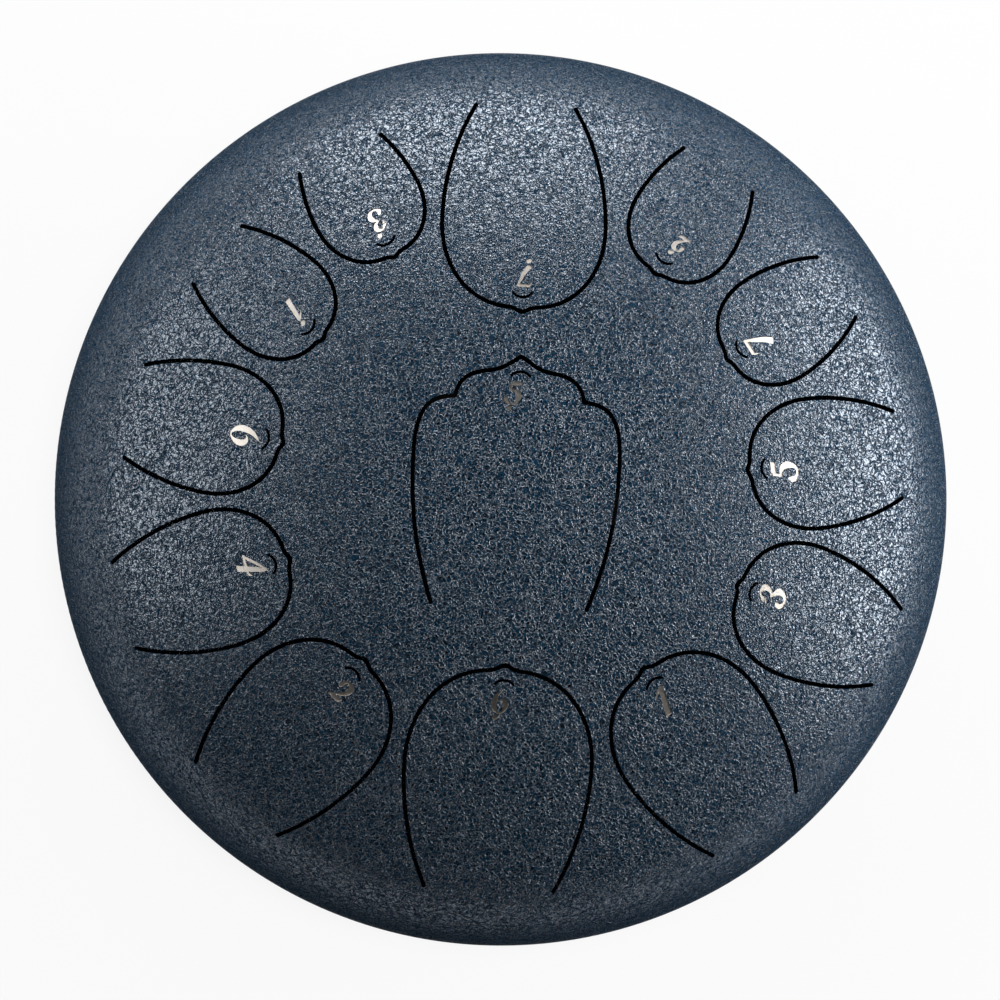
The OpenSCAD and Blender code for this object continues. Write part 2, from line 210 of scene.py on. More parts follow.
def enamel(name, crack_shade, ground, flakes, cell_size, relief_mm):
    """Baked enamel with its own colours, a darker crack colour that is painted shade, cell size and
    depth of relief.
    """
    material, tree, shader = principled(name)
    finish = tree.nodes.new("ShaderNodeGroup")
    finish.node_tree = enamel_group
    for title, colour in (("Crack Shade", crack_shade), ("Ground", ground), ("Flakes", flakes)):
        finish.inputs[title].default_value = (*colour, 1)
    finish.inputs["Cell Size"].default_value = cell_size
    tree.links.new(finish.outputs["Color"], shader.inputs["Base Color"])
    tree.links.new(finish.outputs["Roughness"], shader.inputs["Roughness"])
    relief = node(tree, "Bump", {"Height": finish.outputs["Height"], "Strength": 1.0,
                                 "Distance": relief_mm * MM})
    tree.links.new(relief.outputs[0], shader.inputs["Normal"])
    # the flakes reflect as metal does, and the dark ground between them doesn't shine
    tree.links.new(finish.outputs["Flake Mask"], shader.inputs["Metallic"])
    shader.inputs["Specular Tint"].default_value = (0.02, 0.03, 0.05, 1)
    shader.inputs["Specular IOR Level"].default_value = 0.0
    return material


# the crack colour is painted shade, darker than the ground of the cells
blue_paint = enamel("night_blue_enamel", crack_shade=(0.002, 0.014, 0.03), ground=(0.0025, 0.033, 0.076),
                    flakes=(0.194, 0.217, 0.246), cell_size=1.9, relief_mm=0.38)


def dome(plan, depth=0.0):
    """Heights and outward directions over plan points, on the dome or that deep inside its
    wall: a ball of the crown's radius up to the direction in which crown and shoulder meet,
    then the shoulder's ring. How flat the direction lies is the distance from the arc's
    centre over its radius, and the height follows from Pythagoras."""
    far = np.hypot(plan[:, 0], plan[:, 1])
    ball, ring = CROWN_R - depth, SHOULDER_R - depth
    on_crown = far <= LEAN * ball
    flat = np.where(on_crown, far / ball, (far - SHOULDER_MID) / ring)
    steep = np.sqrt(1 - flat ** 2)
    height = np.where(on_crown, CROWN_TOP - CROWN_R + ball * steep, WAIST_Z + SKIRT + ring * steep)
    outward = plan / np.maximum(far, 1e-9)[:, None] * flat[:, None]
    return height, np.column_stack([outward, steep])


def unit(vectors):
    """Vectors made one long."""
    return vectors / np.maximum(np.linalg.norm(vectors, axis=-1, keepdims=True), 1e-12)


def left_of(path):
    """The directions to the left of a path's points, from the steps beside each point."""
    step = unit(np.diff(path, axis=0))
    step = unit(np.vstack([step[:1], step[1:] + step[:-1], step[-1:]]))
    return np.column_stack([-step[:, 1], step[:, 0]])


def spaced(path, step):
    """A path resampled evenly along its length, with an odd number of points, so that the
    middle of a symmetric path stays a point."""
    along = np.concatenate([[0], np.cumsum(np.linalg.norm(np.diff(path, axis=0), axis=1))])
    wanted = np.linspace(0, along[-1], 2 * int(np.ceil(along[-1] / step / 2)) + 1)
    return np.column_stack([np.interp(wanted, along, axis) for axis in path.T])


def beside(path, gap):
    """A path moved to its left by gap. Each point goes out in a fan between the directions
    of its two neighbours, and whatever ends up nearer to the path than gap is dropped."""
    step = unit(np.diff(path, axis=0))
    left = np.column_stack([-step[:, 1], step[:, 0]])
    share = np.linspace(0, 1, 7)[None, :, None]
    fan = unit(np.vstack([left[:1], left])[:, None] * (1 - share)
               + np.vstack([left, left[-1:]])[:, None] * share)
    moved = (path[:, None] + gap * fan).reshape(-1, 2)
    start, run = path[:-1], np.diff(path, axis=0)
    reach = np.clip(np.einsum("ijk,jk->ij", moved[:, None] - start, run)
                    / np.einsum("jk,jk->j", run, run), 0, 1)
    near = np.linalg.norm(moved[:, None] - start - reach[..., None] * run, axis=2).min(1)
    return moved[near > abs(gap) * 0.9995]


def petal_side(length, width):
    """One side of a petal slot's middle line from tip to root, as (along, across): a nib, a
    superellipse to the belly, and an arc that draws in."""
    nib = lambda x: NIB_H * np.exp(-(x / NIB_W) ** 2)
    x = np.linspace(0, BOW_START, 13)[:-1]
    turn = np.linspace(0, np.pi / 2, 60)
    bow = BOW_START + (1 - BOW_START) * np.sin(turn) ** (2 / BOW_POWER)
    rise = BELLY_AT - (BELLY_AT - NIB_H) * np.cos(turn) ** (2 / BOW_POWER)
    reach = np.linspace(0, length / (width / 2) - BELLY_AT, 40)[1:]
    flank = 1 - FLANK_R + np.sqrt(FLANK_R ** 2 - reach ** 2)
    across = np.concatenate([x, bow, flank])
    along = np.concatenate([NIB_H - nib(x), rise - nib(bow), BELLY_AT + reach])
    return np.column_stack([along, across]) * width / 2


def ogee_side(length, width):
    """One side of the middle tongue's slot: four cubic curves through shares of half the
    width and of the length."""
    curves = np.array([
        [[0, 0], [0.07, 0.012], [0.14, 0.05], [0.3, 0.06]],
        [[0.3, 0.06], [0.45, 0.068], [0.6, 0.085], [0.625, 0.17]],
        [[0.625, 0.17], [0.84, 0.172], [1, 0.205], [1, 0.4]],
        [[1, 0.4], [1, 0.6], [0.96, 0.76], [0.75, 1]]])
    t = np.linspace(0, 1, 40)[:, None]
    weights = np.hstack([(1 - t) ** 3, 3 * (1 - t) ** 2 * t, 3 * (1 - t) * t ** 2, t ** 3])
    points = np.vstack([*(weights[:-1] @ curve for curve in curves), curves[-1, -1]])
    return np.column_stack([points[:, 1] * length, points[:, 0] * width / 2])


def slot_curves(side, length, step):
    """The two edges of a U-shaped slot as paths that keep the steel on their left, each with
    the directions into the steel. The tongue's edge runs inside the U. The shell's edge
    runs outside it and round the slot's two round ends to where the tongue's edge ends."""
    keep = side[:, 0] < length - SLOT_W / 2
    end = [length - SLOT_W / 2, np.interp(length - SLOT_W / 2, side[:, 0], side[:, 1])]
    side = np.vstack([side[keep], end])
    middle = np.vstack([side[::-1], side[1:] * [1, -1]])
    tongue = spaced(beside(middle, SLOT_W / 2), step)
    outside = spaced(beside(middle, -SLOT_W / 2), step)
    half = np.linspace(0, np.pi, 13)[:, None]
    ways, ends = left_of(middle)[[0, -1]], []
    for spot, way, onward in zip(middle[[0, -1]], ways, middle[[0, -1]] - middle[[1, -2]]):
        # from the outer edge round to the inner one
        ends.append(spot + SLOT_W / 2 * (unit(onward) * np.sin(half) - way * np.cos(half)))
    tongue[0], tongue[-1] = ends[0][-1], ends[1][-1]
    shell = np.vstack([ends[0][::-1], outside[1:-1], ends[1]])[::-1]
    into_tongue, into_shell = left_of(tongue), left_of(shell)
    into_tongue[[0, -1]], into_shell[[0, -1]] = ways, ways[::-1]
    return (tongue, into_tongue), (shell, into_shell)


def lattice(low, high, step):
    """Points of a triangular lattice that fills a rectangle."""
    xs = np.arange(low[0], high[0], step)
    ys = np.arange(low[1], high[1], step * np.sqrt(0.75))
    grid = np.stack(np.meshgrid(xs, ys), -1)
    grid[1::2, :, 0] += step / 2
    return grid.reshape(-1, 2)


def disc_lattice(reach, step, radius):
    """Lattice points within a radius, from a lattice that starts at minus the reach."""
    grid = lattice((-reach, -reach), (reach, reach), step)
    return grid[np.hypot(*grid.T) < radius]


def around(count):
    """Directions all round the axis, anticlockwise."""
    angle = np.linspace(0, 2 * np.pi, count, endpoint=False)
    return np.column_stack([np.cos(angle), np.sin(angle)])


def clear_of(points, path, gap):
    """The points that are at least gap away from every point of a path."""
    return points[np.linalg.norm(points[:, None] - path, axis=2).min(1) >= gap]


def triangles(loops, marks, filling):
    """Triangles inside the first loop: points, triangles, the highest number of the loops
    that each lies in, whether it lies in one of the marks, which are small and convex, and
    each given point's place."""
    given = np.vstack(loops + marks + [filling])
    faces, edges, start = [], [], 0
    for number, loop in enumerate(loops + marks):
        ring = np.arange(start, start + len(loop))
        start += len(loop)
        if number < len(loops):
            x, y = loop.T
            left_handed = x @ np.roll(y, -1) > y @ np.roll(x, -1)
            faces.append(ring[::1 if left_handed else -1].tolist())
        else:
            edges += np.column_stack([ring, np.roll(ring, -1)]).tolist()
    points, _, tris, sources, _, covers = delaunay_2d_cdt(given.tolist(), edges, faces, 1, 1e-6)
    tris, points = np.array(tris), np.array(points)
    place = np.full(len(given), -1)
    place[np.concatenate(sources).astype(int)] = np.repeat(
        np.arange(len(points)), [len(source) for source in sources])
    middles, marked = points[tris].mean(1), np.zeros(len(tris), bool)
    for mark in marks:
        run = np.roll(mark, -1, 0) - mark
        away = middles[:, None] - mark
        marked |= (run[:, 0] * away[..., 1] > run[:, 1] * away[..., 0]).all(1)
    return points, tris, np.fromiter(map(max, covers), int), marked, place


def add_mesh(name, points, faces, materials):
    """A mesh object from points in millimetres and faces of point numbers."""
    mesh = bpy.data.meshes.new(name)
    mesh.from_pydata((points * MM).tolist(), [], faces)
    for material in materials:
        mesh.materials.append(material)
    made = bpy.data.objects.new(name, mesh)
    scene.collection.objects.link(made)
    return made


def put_mesh(name, points, parts, materials):
    """A mesh object from points and parts of (faces, corner directions, material number),
    shaded with just those directions."""
    faces = [face for part in parts for face in part[0].tolist()]
    made = add_mesh(name, points, faces, materials)
    numbers = np.concatenate([np.full(len(part[0]), part[2]) for part in parts])
    made.data.polygons.foreach_set("material_index", numbers)
    made.data.polygons.foreach_set("use_smooth", np.ones(len(faces), bool))
    made.data.normals_split_custom_set(
        np.concatenate([part[1].reshape(-1, 3) for part in parts]).tolist())
    return made


def strip(rows, shading, closed):
    """Quads between rows of point numbers, whose directions are given per row and point.
    The rows go out of the steel and the points along them keep it on their left."""
    ahead = (lambda a: np.roll(a, -1, 0)) if closed else (lambda a: a[1:])
    here = (lambda a: a) if closed else (lambda a: a[:-1])
    quads = [np.column_stack([here(a), here(b), ahead(b), ahead(a)])
             for a, b in zip(rows, rows[1:])]
    lights = [np.stack([here(a), here(b), ahead(b), ahead(a)], 1) for a, b in shading]
    return np.concatenate(quads), np.concatenate(lights)


def lathe(pieces, turns):
    """Points, quads and corner directions of a profile turned about the axis. A piece is
    rows of (radius, height, outward share, upward share); it ends where the next begins,
    and the last may end where the first began. The profile keeps the solid on its right."""
    spin = around(turns)
    profile = np.vstack([pieces[0]] + [piece[1:] for piece in pieces[1:]])
    if np.allclose(profile[0, :2], profile[-1, :2]):
        profile = profile[:-1]
    points = np.concatenate(
        [np.column_stack([spin * r, np.full(turns, z)]) for r, z in profile[:, :2]])
    quads, lights, row = [], [], 0
    this = np.arange(turns)
    after = (this + 1) % turns
    for piece in pieces:
        ways = [np.column_stack([spin * out, np.full(turns, up)]) for out, up in piece[:, 2:]]
        for a, b in zip(ways, ways[1:]):
            one, two = row * turns, (row + 1) % len(profile) * turns
            quads.append(np.column_stack([this + one, this + two, after + two, after + one]))
            lights.append(np.stack([a, b, b[after], a[after]], 1))
            row += 1
    return points, np.concatenate(quads), np.concatenate(lights)


def arc(centre, radius, start, end, count, sign=1):
    """Rows of a profile along an arc, with angles from straight up towards the outside;
    sign -1 turns the directions inwards, for a wall's inner face."""
    a = np.radians(np.linspace(start, end, count))
    return np.column_stack([centre[0] + radius * np.sin(a), centre[1] + radius * np.cos(a),
                            sign * np.sin(a), sign * np.cos(a)])


def line(a, b):
    """Two rows of a straight piece of a profile, with the direction on its left."""
    run = unit(np.array(b, float) - np.array(a, float))
    return np.array([[*a, -run[1], run[0]], [*b, -run[1], run[0]]])


class Sheet:
    """A region of curved sheet, cut out along edges. It holds points, faces and directions
    as they are made: outer face, rounded edges, walls, inner face."""

    def __init__(self, surface, wall, down=False):
        self.surface, self.wall, self.down = surface, wall, down
        self.points, self.parts, self.count = [], [], 0

    def add(self, points):
        """Keeps points and gives their numbers."""
        self.points.append(points)
        self.count += len(points)
        return np.arange(self.count - len(points), self.count)

    def part(self, faces, lights, material=0):
        """Keeps faces, turned over if the sheet looks down."""
        if self.down:
            faces, lights = faces[:, ::-1], lights[:, ::-1]
        self.parts.append((faces, lights, material))

    def lifted(self, plan, depth=0.0, sink=0.0):
        """Plan points on the surface, or deeper, or sunk."""
        height, outward = self.surface(plan, depth)
        return np.column_stack([plan, height - sink * (-1 if self.down else 1)]), outward

    def fill(self, border, cuts, filling, round_r, marks=(), mark_depth=0.0):
        """Outer and inner face inside the border, or inside the first cut if the border is
        empty. A cut is (path, directions into the steel, chord): the path goes round a hole
        or, with a chord's points to close it, ends where two pieces of one steel meet. The
        outer face starts a quarter-round beside each cut. Marks are recesses mark_depth deep
        in the outer face, with material 1 on their floor."""
        loops = [border] if len(border) else []
        loops += [np.vstack([path + into * round_r, *chord]) for path, into, chord in cuts]
        plan, tris, cover, marked, place = triangles(loops, list(marks), filling)
        kept = cover == 0
        marked = marked[kept]
        used, tris = np.unique(tris[kept], return_inverse=True)
        tris = tris.reshape(-1, 3)
        place, plan = np.searchsorted(used, place), plan[used]
        points, outward = self.lifted(plan)
        top = self.add(points)
        self.part(top[tris[~marked]], outward[tris[~marked]])
        # the inner face has the same triangles, with the cuts' points on the cuts themselves
        under, start, spans = plan.copy(), len(border), []
        for path, _, chord in cuts:
            numbers, start = place[start:start + len(path)], start + len(path)
            under[numbers] = path
            spans.append((numbers, place[start:start + len(chord)]))
            start += len(chord)
        points, inward = self.lifted(under, self.wall)
        low = self.add(points)
        self.part(low[tris][:, ::-1], -inward[tris][:, ::-1])
        if marked.any():
            self.recess(plan, top, tris, marked, mark_depth)
        for (path, into, chord), (numbers, chord_numbers) in zip(cuts, spans):
            wall_way = np.column_stack([-into, np.zeros(len(into))])
            rows, lights, before = [top[numbers]], [], outward[numbers]
            for turn in np.linspace(0, np.pi / 2, EDGE_ROWS + 1)[1:]:
                points, above = self.lifted(path + into * round_r * (1 - np.sin(turn)), 0.0,
                                            round_r * (1 - np.cos(turn)))
                rows.append(self.add(points))
                now = unit(above * np.cos(turn) + wall_way * np.sin(turn))
                lights.append((before, now))
                before = now
            rows.append(low[numbers])
            lights.append((wall_way, wall_way))
            self.part(*strip(rows, lights, closed=not len(chord)))
            if len(chord):
                self.cap(rows, top, low, chord_numbers)
        return top[place[:len(border)]], low[place[:len(border)]]

    def recess(self, plan, top, tris, marked, depth):
        """The marks' floor, sunk below the outer face, and the little walls round it: an edge
        of a marked triangle that an unmarked one has the other way round gets a wall."""
        floor_of = np.full(len(plan), -1)
        used = np.unique(tris[marked])
        points, outward = self.lifted(plan[used], 0.0, depth)
        floor_of[used] = self.add(points)
        floor = floor_of[tris[marked]]
        self.part(floor, outward[floor - floor_of[used[0]]], 1)
        edges = lambda t: np.concatenate([t[:, [0, 1]], t[:, [1, 2]], t[:, [2, 0]]])
        inside, outside = edges(tris[marked]), edges(tris[~marked])
        key = lambda pairs: pairs[:, 0] * len(plan) + pairs[:, 1]
        a, b = inside[np.isin(key(inside), key(outside[:, ::-1]))].T
        run = unit(plan[b] - plan[a])
        way = np.column_stack([-run[:, 1], run[:, 0], np.zeros(len(run))])
        self.part(np.column_stack([floor_of[a], top[a], top[b], floor_of[b]]),
                  np.repeat(way[:, None], 4, 1), 1)

    def rim(self, first, last, profile):
        """A turned profile between two rings of points that the sheet has already."""
        count = len(first)
        points, quads, lights = lathe(profile, count)
        numbers = np.concatenate([first, self.add(points[count:-count]), last])
        self.parts.append((numbers[quads], lights, 0))

    def cap(self, rows, top, low, chord):
        """The sheet's section along the chord, where two pieces of the same steel meet."""
        first, last = [row[0] for row in rows], [row[-1] for row in rows]
        upper = np.concatenate([[first[0]], top[chord][::-1], [last[0]]])
        lower = np.concatenate([[first[-1]], low[chord][::-1], [last[-1]]])
        everything = np.concatenate(self.points)
        run = unit(everything[last[0], :2] - everything[first[0], :2])
        way = np.array([-run[1], run[0], 0.0])
        quads = np.column_stack([upper[:-1], upper[1:], lower[1:], lower[:-1]])
        self.part(quads, np.broadcast_to(way, quads.shape + (3,)))
        fan = [[first[-1], first[k + 1], first[k]] for k in range(EDGE_ROWS)]
        fan += [[last[-1], last[k], last[k + 1]] for k in range(EDGE_ROWS)]
        self.part(np.array(fan), np.broadcast_to(way, (len(fan), 3, 3)))


def laid(points, turn, tip=0.0):
    """A tongue's points (along, across), or directions if no tip is given, in the drum's plan."""
    turn = np.radians(turn)
    along = np.array([np.cos(turn), np.sin(turn)])
    across = np.array([-along[1], along[0]])
    return (points[:, :1] + tip) * along + points[:, 1:] * across


def outline(name, turn, tip, length, width):
    """A tongue's and the shell's edges of one slot, and the root line between them, as plan
    points of the drum, with the steel on their left."""
    side = ogee_side if name == "low_5" else petal_side
    (tongue, into_tongue), (shell, into_shell) = slot_curves(
        side(length * DRUM_R, width * DRUM_R), length * DRUM_R, FINE_STEP)
    start, end = tongue[[0, -1]] + into_tongue[[0, -1]] * EDGE_ROUND
    share = np.linspace(0, 1, int(np.linalg.norm(end - start) / ROOT_STEP) + 2)[1:-1, None]
    root = end * (1 - share) + start * share
    lay = lambda p: laid(p, turn, tip * DRUM_R)
    return ((lay(tongue), laid(into_tongue, turn)), (lay(shell), laid(into_shell, turn)),
            lay(root))


slots = {row[0]: outline(*row) for row in TONGUES}

rim = around(360)
shell = Sheet(dome, WALL)
filling = disc_lattice(RIM_R, COARSE_STEP, RIM_R - RIM_CLEARANCE)
for _, shell_edge, _ in slots.values():
    filling = clear_of(filling, shell_edge[0], SLOT_CLEARANCE)
cuts = [(*edge, root[::-1]) for _, edge, root in slots.values()]
top_rim, low_rim = shell.fill(rim * RIM_R, cuts, filling, EDGE_ROUND)
# the rim, from the outer face's border round the edge at the waist to the inner face's
middle = (SHOULDER_MID, WAIST_Z + SKIRT)
outer_start = np.degrees(np.arcsin((RIM_R - SHOULDER_MID) / SHOULDER_R))
inner_end = np.degrees(np.arcsin((RIM_R - SHOULDER_MID) / (SHOULDER_R - WALL)))
shell.rim(top_rim, low_rim, [
    arc(middle, SHOULDER_R, outer_start, 90, 16),
    line((DRUM_R, WAIST_Z + SKIRT), (DRUM_R, WAIST_Z + WELD_LEG)),
    line((DRUM_R, WAIST_Z + WELD_LEG), (DRUM_R - WELD_LEG, WAIST_Z)),
    line((DRUM_R - WELD_LEG, WAIST_Z), (DRUM_R - WALL, WAIST_Z)),
    line((DRUM_R - WALL, WAIST_Z), (DRUM_R - WALL, WAIST_Z + SKIRT)),
    arc(middle, SHOULDER_R - WALL, 90, inner_end, 14, -1)])
dome_piece = put_mesh("dome_shell", np.concatenate(shell.points), shell.parts, [blue_paint])
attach(dome_piece, "drum_body")
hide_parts("upper_shell")


# The tongues: each is a flap of the same sheet that stays joined to the dome at its root,
# where it bends when it is struck. A small arc-shaped slit behind its tip trims its
# overtones, and its number is engraved through the paint into the bare steel.
SLIT_R, SLIT_W, SLIT_INSET, SLIT_HALF = 4.1, 0.9, 4.9, np.radians(48)
BEND_REACH = 8.0
NUMBER_AT, NUMBER_DEPTH, NUMBER_SLANT, LEAST_PEN = 12.7, 0.25, 0.3, 0.12
DOT_D, DOT_GAP, DOT_ASIDE, SMALL_NUMBER = 1.7, 0.25, 0.2, 0.8
# between points of a tongue's face, and from these to its edge and its slit
TONGUE_STEP, EDGE_CLEARANCE, SLIT_CLEARANCE = 2.2, 1.2, 0.8
# pen strokes of the numbers 1 to 7 before they are slanted: (across, up, width of the pen)
STROKES = [
    [[(0.7, 4.9, 0.4), (0.6, 3.7, 1.6), (0.4, 0.4, 1.9), (0.2, -5, 2.2)],
     [(0.2, 4.2, 1), (-1.1, 3.1, 0.7), (-2.4, 1.9, 0.15)]],
    [[(-1.2, 0.7, 0.5), (-1.9, 1.6, 1.6), (-1.7, 2.9, 1), (-0.5, 3.4, 0.9), (1, 2.8, 1.6),
      (1.7, 1.5, 1.9), (1.5, -0.1, 1.5), (0.1, -1.7, 0.8), (-1.6, -3.2, 0.4)],
     [(-1.8, -3, 0.7), (0.1, -2.8, 1.3), (2, -3, 1.3), (2.8, -2.2, 0.3)]],
    [[(-2.1, 1.4, 0.7), (-2.7, 2.2, 1.6), (-2.2, 3.6, 1), (-1.1, 4.3, 1), (0.5, 3.7, 1.6),
      (1.2, 2.6, 1.9), (1.1, 1.4, 1.5), (0.2, 0.6, 0.8), (-0.9, 0.1, 0.3)],
     [(-0.4, 0.3, 0.4), (1, -0.3, 1.1), (2.5, -1.5, 1.9), (3, -2.6, 2), (2.6, -3.9, 1.6),
      (1.4, -4.6, 0.9), (0.1, -4.4, 0.9), (-1.2, -3.5, 1.5), (-1.3, -2.5, 1.6), (-0.9, -1.8, 0.5)]],
    [[(1.8, 4.6, 0.5), (1.8, 2.3, 1.5), (1.7, -1, 1.7), (1.7, -4.9, 2)],
     [(1.8, 4.6, 0.5), (-0.5, 1.3, 1), (-2.4, -1.9, 0.9)],
     [(-2.9, -1.9, 0.8), (0.5, -1.9, 1), (3.3, -1.8, 1)],
     [(3.2, -1.9, 0.9), (3.7, -1.2, 0.6), (3.8, -0.6, 0.2)]],
    [[(-1.5, 3.8, 1.6), (2.2, 3.8, 1.6)],
     [(-1.9, 4.2, 0.9), (-1.6, 1, 0.9)],
     [(-1.9, 1, 0.4), (-0.6, 1.3, 1), (1.2, 0.5, 1.6), (2.3, -1.1, 2.1), (2.6, -2.6, 1.9),
      (2, -4.1, 1.3), (0.6, -4.4, 0.7), (-0.9, -3.9, 1), (-1.9, -3, 1.6), (-2.2, -2, 1.6),
      (-2, -1.2, 0.4)]],
    [[(-0.8, 5, 0.15), (-1.6, 3.7, 1), (-2.3, 2.2, 1.6), (-2.4, 0.3, 2), (-2, -1.6, 1.9),
      (-1, -3.3, 1.4), (0.3, -4.5, 0.8), (1.5, -4.9, 0.5)],
     [(1.5, -4.9, 0.5), (2.3, -4.2, 0.9), (2.8, -2.9, 1.6), (2.7, -1.4, 1.9), (1.9, 0, 1.7),
      (0.8, 0.7, 1.3), (-0.1, 0.6, 0.7), (-0.7, 0, 0.3)]],
    [[(-3.6, 2, 0.15), (-3.6, 3, 0.5), (-3.3, 3.7, 1)],
     [(-3.6, 3.8, 1.3), (1.8, 3.8, 1.3)],
     [(1.7, 4.2, 0.7), (1.1, 1.1, 1.3), (0.4, -2.1, 2), (-0.8, -4.5, 2.5)]],
]
# how far each tongue's number stands to the right of its axis, seen with the tip up
NUMBER_ASIDE = (-2.4, -1.1, -0.8, -0.9, 1.0, 0.9, -1.8, -1.5, 0.5, -1.2, -1.4, -1.9, -0.4)


def stroke(nodes):
    """A pen stroke as small four-sided marks. The pen's middle and width follow a smooth
    cubic curve through the nodes, parallel at each to the line between its neighbours."""
    nodes = np.array(nodes, float)
    ends = np.vstack([2 * nodes[0] - nodes[1], nodes, 2 * nodes[-1] - nodes[-2]])
    a, b, c, d = ends[:-3], ends[1:-2], ends[2:-1], ends[3:]
    t = np.linspace(0, 1, 5)[:-1, None, None]
    curve = (b + t / 2 * (c - a) + t ** 2 * (a - 2.5 * b + 2 * c - d / 2)
             + t ** 3 / 2 * (3 * b - a - 3 * c + d))
    curve = np.vstack([curve.transpose(1, 0, 2).reshape(-1, 3), nodes[-1:]])
    pen = left_of(curve[:, :2]) * np.maximum(curve[:, 2:], LEAST_PEN) / 2
    left, right = curve[:, :2] + pen, curve[:, :2] - pen
    return list(np.stack([right[:-1], right[1:], left[1:], left[:-1]], 1))


def number_marks(name, turn, tip, aside):
    """The marks that engrave a tongue's number, with a dot below it for the low octave and
    one above it for the high."""
    octave, digit = name.rsplit("_", 1) if "_" in name else ("", name)
    marks = [mark for nodes in STROKES[int(digit) - 1] for mark in stroke(nodes)]
    if octave:
        marks = [mark * SMALL_NUMBER for mark in marks]
        side = 1 if octave == "high" else -1
        height = side * (max((side * mark[:, 1]).max() for mark in marks) + DOT_D / 2 + DOT_GAP)
        marks.append(around(16) * DOT_D / 2 + [DOT_ASIDE, height])
        marks = [mark - [0, side * DOT_D / 2] for mark in marks]
    slanted = [mark + mark[:, 1:] * [NUMBER_SLANT, 0] + [aside, 0] for mark in marks]
    return [laid(np.column_stack([NUMBER_AT - mark[:, 1], mark[:, 0]]), turn, tip)
            for mark in slanted]


def arc_slit(turn, tip):
    """A slit's edge, with the directions into the steel: a ring sector round a point on the
    tongue's axis, bowed to the tip, with half-round ends."""
    sweep = np.linspace(-SLIT_HALF, SLIT_HALF, 15)[:, None]
    bow = np.hstack([-np.cos(sweep), np.sin(sweep)])
    half = np.linspace(0, np.pi, 9)[1:-1, None]
    ends = [way * SLIT_R + SLIT_W / 2 * (way * np.cos(half) + way[::-1] * past * np.sin(half))
            for way, past in ((bow[-1], [1, -1]), (bow[0], [-1, 1]))]
    path = np.vstack([bow * (SLIT_R + SLIT_W / 2), ends[0],
                      bow[::-1] * (SLIT_R - SLIT_W / 2), ends[1][::-1]])
    step = unit(np.roll(path, -1, 0) - np.roll(path, 1, 0))
    into = np.column_stack([-step[:, 1], step[:, 0]])
    return laid(path + [SLIT_INSET + SLIT_R, 0], turn, tip), laid(into, turn)


def brushed_steel():
    """Bare bright steel: fine noise stretched along one way makes its brushed lines."""
    material, tree, shader = principled("bare_steel")
    place = node(tree, "TexCoord").outputs["Object"]
    along, across, smoothest, roughest, line_depth = 900.0, 5200.0, 0.28, 0.42, 0.02 * MM
    stretched = node(tree, "Mapping", {"Vector": place, "Scale": (along, across, along)})
    lines = node(tree, "TexNoise", {"Vector": stretched.outputs[0], "Scale": 1.0, "Detail": 2.0})
    lines = lines.outputs["Fac"]
    rough = ramp(tree, lines, 0.3, 0.7, smoothest, roughest, False)
    tree.links.new(rough, shader.inputs["Roughness"])
    relief = node(tree, "Bump", {"Height": lines, "Strength": 0.25, "Distance": line_depth})
    tree.links.new(relief.outputs[0], shader.inputs["Normal"])
    shader.inputs["Base Color"].default_value = (0.78, 0.73, 0.67, 1)
    shader.inputs["Metallic"].default_value = 1.0
    return material


bare_steel = brushed_steel()
for (name, turn, tip, length, width), aside in zip(TONGUES, NUMBER_ASIDE):
    (path, into), _, root = slots[name]
    slit = arc_slit(turn, tip * DRUM_R)
    inside = lattice(path.min(0), path.max(0), TONGUE_STEP)
    inside = clear_of(clear_of(inside, path, EDGE_CLEARANCE), slit[0], SLIT_CLEARANCE)
    sheet = Sheet(dome, WALL)
    sheet.fill([], [(path, into, root), (*slit, [])], inside, EDGE_ROUND,
               number_marks(name, turn, tip * DRUM_R, aside), NUMBER_DEPTH)
    piece = put_mesh("tongue_skin_" + name, np.concatenate(sheet.points), sheet.parts,
                     [blue_paint, bare_steel])
    bend = [laid(np.array([[length * DRUM_R - reach, 0.0]]), turn, tip * DRUM_R)[0] * MM
            for reach in (SLOT_W / 2, BEND_REACH)]
    height = float(dome(bend[0][None] / MM, WALL / 2)[0][0]) * MM
    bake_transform(piece)
    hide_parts("tongue_" + name)

# The bowl: a second pressing of the same sheet, with a flat bottom, a round sound port, a
# ring of petal-shaped openings round it and three holes for the screws of the feet.
FOOT_H, FLAT_R, BOWL_R, BOWL_SHOULDER_R, BOWL_LEAN = 12.0, 81.5, 71.625, 46.0, 77.3
PORT_R, PETAL_LEN, PETAL_W, PETAL_GAP, PETALS = 20.0, 26.0, 14.0, 6.0, 6
FOOT_TURNS, FOOT_RING_R, SCREW_HOLE_R = (-90, 30, 150), 67.0, 2.6
BOTTOM_STEP, HOLE_CLEARANCE = 4.0, 1.5


def flat_bottom(plan, depth=0.0):
    """Heights and outward directions of the bowl's flat bottom, or that deep inside it."""
    return np.full(len(plan), FOOT_H + depth), np.tile([0.0, 0.0, -1.0], (len(plan), 1))


def hole(centre, radius, count):
    """A round hole's edge, clockwise, with the directions into the steel."""
    way = around(count) * [1, -1]
    return centre + way * radius, way


def petal_hole(turn):
    """A petal opening's edge, clockwise, with the directions into the steel: two equal arcs
    that meet in points towards the port and away from it."""
    side_r = (PETAL_LEN ** 2 + PETAL_W ** 2) / 4 / PETAL_W
    half = np.arcsin(PETAL_LEN / 2 / side_r)
    sweep = np.linspace(-half, half, 19)[:-1, None]
    way = np.hstack([np.sin(sweep), np.cos(sweep)])
    path = way * side_r - [0, side_r - PETAL_W / 2]
    way[0] = [-1, 0]
    path, way = np.vstack([path, -path]), np.vstack([way, -way])
    middle = PORT_R + PETAL_GAP + PETAL_LEN / 2
    return laid(path, turn, middle), laid(way, turn)


